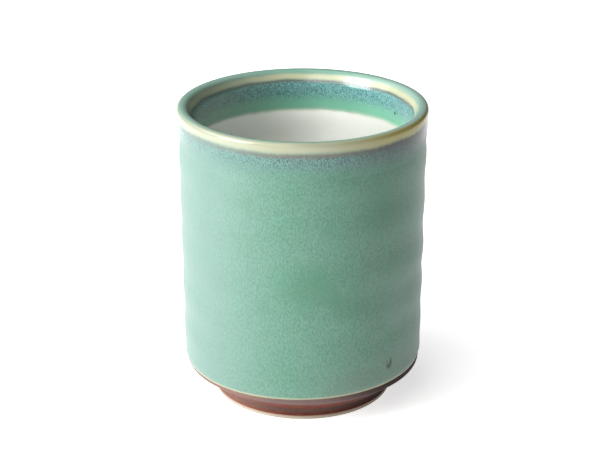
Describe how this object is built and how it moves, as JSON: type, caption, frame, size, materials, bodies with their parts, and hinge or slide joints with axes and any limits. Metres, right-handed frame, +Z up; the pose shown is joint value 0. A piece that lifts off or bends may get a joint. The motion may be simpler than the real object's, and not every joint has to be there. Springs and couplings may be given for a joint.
{
  "type": "brush holder pot",
  "caption": "Wheel-thrown stoneware brush pot with a thick rolled lip, green glaze, white inside and an iron-washed foot ring.",
  "frame": {"origin": "middle of the circle that the foot ring stands on, on the table's surface", "axes": "+Z up along the pot's own axis, towards the lip; the pot is round, so X and Y are free, and -Y is the side shown in front"},
  "size_m": [0.084, 0.084, 0.1024],
  "materials": {
    "stoneware": "bare fired clay, matte",
    "wiped_clay": "bare fired clay wiped clean, matte",
    "white_liner": "glossy white glaze",
    "green_glaze": "satin green glaze, finely speckled",
    "rim_glaze": "glossy glaze, cream on the edges and speckled blue below them",
    "iron_wash": "dry red-brown iron wash"
  },
  "bodies": {
    "root": {"clay_body": "stoneware", "foot_ring": "wiped_clay", "liner_glaze": "white_liner", "green_glaze": "green_glaze", "rim_glaze": "rim_glaze", "foot_wash": "iron_wash"}
  },
  "joints": []
}
